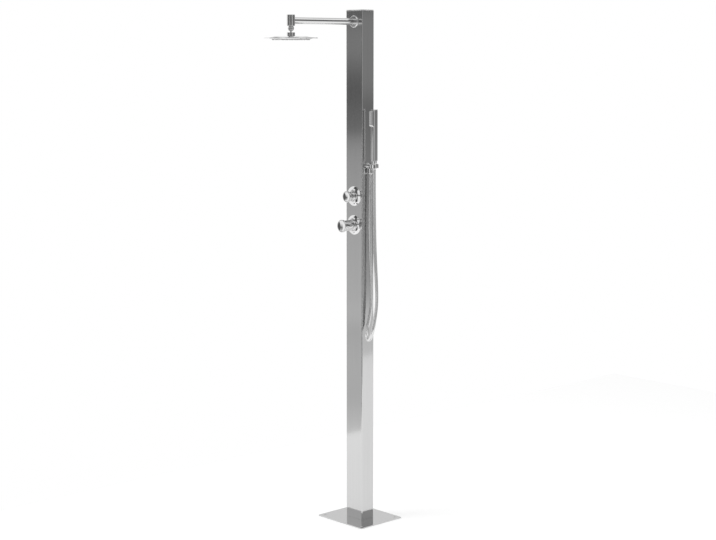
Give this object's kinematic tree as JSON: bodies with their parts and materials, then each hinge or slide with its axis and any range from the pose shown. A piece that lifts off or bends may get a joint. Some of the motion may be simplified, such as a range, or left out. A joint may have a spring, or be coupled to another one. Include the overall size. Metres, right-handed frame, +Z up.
{
  "type": "outdoor shower post",
  "caption": "Freestanding outdoor shower post: square-edged steel column on a base plate, overhead rain head on an arm, front mixer and diverter, hand shower and hose on a side holder.",
  "frame": {"origin": "centre of the base plate's underside, at floor level on the column's axis", "axes": "+Z up the column; the arm, rain head and controls face -Y; the hand shower and its hose are on the +X side"},
  "size_m": [0.2713, 0.559, 2],
  "materials": {
    "post_steel": "satin, upright grain",
    "bright_steel": "polished",
    "inner_steel": "plain",
    "valve_brass": "machined",
    "inner_plastic": "moulded",
    "nozzle_rubber": "soft, matt",
    "washer_rubber": "matt",
    "hose_skin": "smooth silver skin"
  },
  "bodies": {
    "post": {"base_plate": "post_steel", "foot_collar": "post_steel", "post_tube": "post_steel", "top_cap": "post_steel", "arm_tube": "bright_steel", "arm_rosette": "bright_steel", "head_elbow": "bright_steel", "ball_housing": "bright_steel", "mixer_rosette": "bright_steel", "diverter_rosette": "bright_steel", "outlet_bracket": "bright_steel", "supply_hose_nut": "bright_steel", "pipe_hot": "inner_steel", "pipe_cold": "inner_steel", "link_pipe": "inner_steel", "riser_pipe": "inner_steel", "branch_pipe": "inner_steel", "collar_screw_left": "inner_steel", "collar_screw_right": "inner_steel", "inlet_union_hot": "valve_brass", "inlet_union_cold": "valve_brass", "mixer_body": "valve_brass", "diverter_body": "valve_brass", "mixer_lock_ring": "valve_brass", "diverter_lock_ring": "valve_brass", "mixer_bonnet": "valve_brass", "diverter_bonnet": "valve_brass", "arm_lock_nut": "valve_brass", "arm_inlet_elbow": "valve_brass", "outlet_lock_nut": "valve_brass", "outlet_elbow": "valve_brass", "mixer_cartridge": "inner_plastic", "diverter_cartridge": "inner_plastic", "seat_retainer": "inner_plastic", "supply_hose_washer": "washer_rubber", "hand_hose": "hose_skin"},
    "mixer_control": {"mixer_spindle": "inner_steel", "mixer_handle": "bright_steel", "mixer_handle_cap": "bright_steel", "mixer_handle_screw": "inner_steel"},
    "diverter_control": {"diverter_spindle": "inner_steel", "diverter_handle": "bright_steel", "diverter_handle_cap": "bright_steel", "diverter_handle_screw": "inner_steel"},
    "ball_ring": {"ball_seat": "inner_plastic"},
    "shower_head": {"swivel_ball": "bright_steel", "head_boss": "bright_steel", "head_shell": "bright_steel", "spray_plate": "bright_steel", "spray_nozzles": "nozzle_rubber"},
    "hose_end": {"handset_cone_nut": "bright_steel", "handset_washer": "washer_rubber"},
    "handset": {"handset_body": "bright_steel", "handset_nipple": "inner_steel", "handset_water_tube": "inner_plastic", "handset_top_cap": "bright_steel", "handset_spray_head": "bright_steel", "handset_nozzles": "nozzle_rubber"}
  },
  "joints": [
    {"name": "mixer_turn", "type": "hinge", "parent": "post", "child": "mixer_control", "pos_m": [0, -0.031, 1.1745], "axis": [0, -1, 0], "range_deg": [0, 110]},
    {"name": "diverter_turn", "type": "hinge", "parent": "post", "child": "diverter_control", "pos_m": [0, -0.031, 1.2865], "axis": [0, -1, 0], "range_deg": [0, 90]},
    {"name": "head_swivel", "type": "hinge", "parent": "post", "child": "ball_ring", "pos_m": [0, -0.349, 1.926], "axis": [0, 0, 1], "continuous": true},
    {"name": "head_tilt", "type": "hinge", "parent": "ball_ring", "child": "shower_head", "pos_m": [0, -0.349, 1.926], "axis": [1, 0, 0], "range_deg": [-12, 12]},
    {"name": "handset_lift", "type": "slide", "parent": "post", "child": "hose_end", "axis": [0, 0, 1], "range_m": [0, 0.022]},
    {"name": "handset_turn", "type": "hinge", "parent": "hose_end", "child": "handset", "pos_m": [0.0795, 0, 1.419], "axis": [0, 0, 1], "continuous": true}
  ]
}
